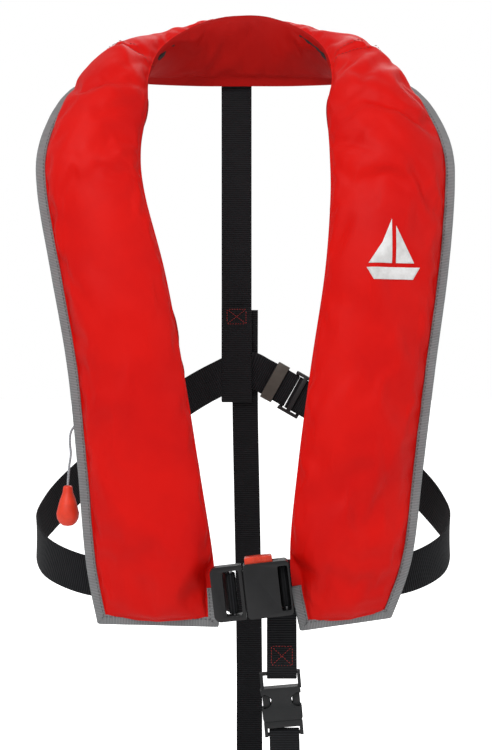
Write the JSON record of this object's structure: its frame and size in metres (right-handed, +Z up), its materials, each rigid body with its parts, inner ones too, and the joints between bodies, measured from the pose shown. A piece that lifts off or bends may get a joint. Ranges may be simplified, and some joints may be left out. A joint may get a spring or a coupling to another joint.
{
  "type": "inflatable life jacket",
  "caption": "Horseshoe inflatable life jacket: padded cloth cover over a folded bladder, with a waist belt, back strap, crotch strap, push-button buckle and pull toggle.",
  "frame": {"origin": "between the shoulders, at the height where the jacket rests on them", "axes": "+Z up, the wearer faces -Y, +X towards the wearer's left"},
  "size_m": [0.4439, 0.2802, 0.9524],
  "materials": {
    "red_cover": "coated nylon",
    "red_lining": "nylon lining",
    "grey_binding": "ribbed tape",
    "hook_and_loop": "hook and loop",
    "bladder_cloth": "coated nylon",
    "reflective_tape": "reflective",
    "black_webbing": "ribbed webbing",
    "orange_plastic": "moulded",
    "button_orange": "moulded",
    "toggle_orange": "moulded",
    "grey_cord": "braided",
    "black_moulding": "moulded",
    "steel_small": "turned",
    "spring_steel": "drawn",
    "seal_rubber": "moulded",
    "zinc_steel": "zinc plated",
    "buckle_black": "moulded",
    "buckle_matt": "moulded",
    "keeper_drab": "moulded"
  },
  "bodies": {
    "root": {"right_front_panel": "red_cover", "right_back_panel": "red_lining", "left_front_panel": "red_cover", "left_back_panel": "red_lining", "collar_outer_panel": "red_cover", "collar_inner_panel": "red_lining", "right_binding": "grey_binding", "left_binding": "grey_binding", "closure_loop_tape": "hook_and_loop", "closure_hook_tape": "hook_and_loop", "bladder": "bladder_cloth", "reflective_patches": "reflective_tape", "lifting_loop": "black_webbing", "whistle": "orange_plastic", "whistle_lanyard": "grey_cord", "right_belt_tunnel": "black_webbing", "left_belt_tunnel": "black_webbing", "inflator_body": "black_moulding", "manifold_flange": "black_moulding", "cap_nut": "steel_small", "cylinder_seal": "seal_rubber", "gas_cylinder": "zinc_steel", "lever_pin": "steel_small", "pin_spring": "spring_steel", "oral_tube": "black_moulding", "valve_body": "orange_plastic", "valve_spring": "spring_steel", "back_strap": "black_webbing", "waist_belt_right": "black_webbing", "waist_belt_left": "black_webbing", "tongue_webbing": "black_webbing", "housing_webbing": "black_webbing", "crotch_loop": "black_webbing", "crotch_strap": "black_webbing", "crotch_strap_end": "black_webbing", "housing_front": "buckle_black", "housing_back": "buckle_black", "housing_bar": "steel_small", "latch_arm": "spring_steel", "crotch_buckle_socket": "buckle_matt"},
    "tongue": {"buckle_tongue": "buckle_black", "tongue_bar": "steel_small"},
    "button": {"release_button": "button_orange"},
    "lever": {"firing_lever": "black_moulding"},
    "pin": {"piercing_pin": "steel_small"},
    "toggle": {"pull_toggle": "toggle_orange", "pull_cord": "grey_cord"},
    "plunger": {"valve_plunger": "black_moulding"},
    "cap": {"dust_cap": "black_moulding"},
    "adjuster": {"belt_adjuster": "buckle_matt"},
    "keeper": {"belt_keeper": "keeper_drab"},
    "crotch_plug": {"crotch_buckle_plug": "buckle_matt"},
    "prong_right": {"right_prong": "buckle_matt"},
    "prong_left": {"left_prong": "buckle_matt"}
  },
  "joints": [
    {"name": "tongue_release", "type": "slide", "parent": "root", "child": "tongue", "axis": [-0.9936, 0, -0.1132], "range_m": [0, 0.032], "deforming": ["tongue_webbing", "latch_arm"]},
    {"name": "button_press", "type": "slide", "parent": "root", "child": "button", "axis": [0.1132, 0, -0.9936], "range_m": [0, 0.003], "stiffness_N_per_m": 1500, "springref_m": -0.001},
    {"name": "crotch_release", "type": "slide", "parent": "root", "child": "crotch_plug", "axis": [0.0872, 0, -0.9962], "range_m": [0, 0.03], "deforming": ["crotch_strap_end", "right_prong", "left_prong"]},
    {"name": "right_prong_squeeze", "type": "hinge", "parent": "crotch_plug", "child": "prong_right", "pos_m": [0.02555, -0.112, -0.65485], "axis": [0, 1, 0], "range_deg": [0, 7], "stiffness_Nm_per_rad": 0.3},
    {"name": "left_prong_squeeze", "type": "hinge", "parent": "crotch_plug", "child": "prong_left", "pos_m": [0.05085, -0.112, -0.65264], "axis": [0, -1, 0], "range_deg": [0, 7], "stiffness_Nm_per_rad": 0.3},
    {"name": "lever_fire", "type": "hinge", "parent": "root", "child": "lever", "pos_m": [-0.12074, -0.122, -0.34442], "axis": [0, -1, 0], "range_deg": [0, 55]},
    {"name": "toggle_pull", "type": "slide", "parent": "root", "child": "toggle", "axis": [0, 0, -1], "range_m": [0, 0.03], "deforming": ["pull_cord", "pin_spring"]},
    {"name": "pin_strike", "type": "slide", "parent": "root", "child": "pin", "axis": [-0.1736, 0, 0.9848], "range_m": [0, 0.00401]},
    {"name": "valve_press", "type": "slide", "parent": "root", "child": "plunger", "axis": [-0.1392, 0, -0.9903], "range_m": [0, 0.0028], "stiffness_N_per_m": 300, "springref_m": -0.001, "deforming": ["valve_spring"]},
    {"name": "dust_cap_pull", "type": "slide", "parent": "root", "child": "cap", "axis": [0.1392, 0, 0.9903], "range_m": [0, 0.018]},
    {"name": "adjuster_slide", "type": "slide", "parent": "root", "child": "adjuster", "axis": [0.8582, -0.1502, -0.4908], "range_m": [-0.005, 0.0035]},
    {"name": "keeper_slide", "type": "slide", "parent": "root", "child": "keeper", "axis": [0.8582, -0.1502, -0.4908], "range_m": [-0.005, 0.003]}
  ],
  "couplings": [
    {"joint": "lever_fire", "follows": "toggle_pull", "rad_per_m": 31.99},
    {"joint": "pin_strike", "follows": "toggle_pull", "ratio": 0.1333}
  ]
}
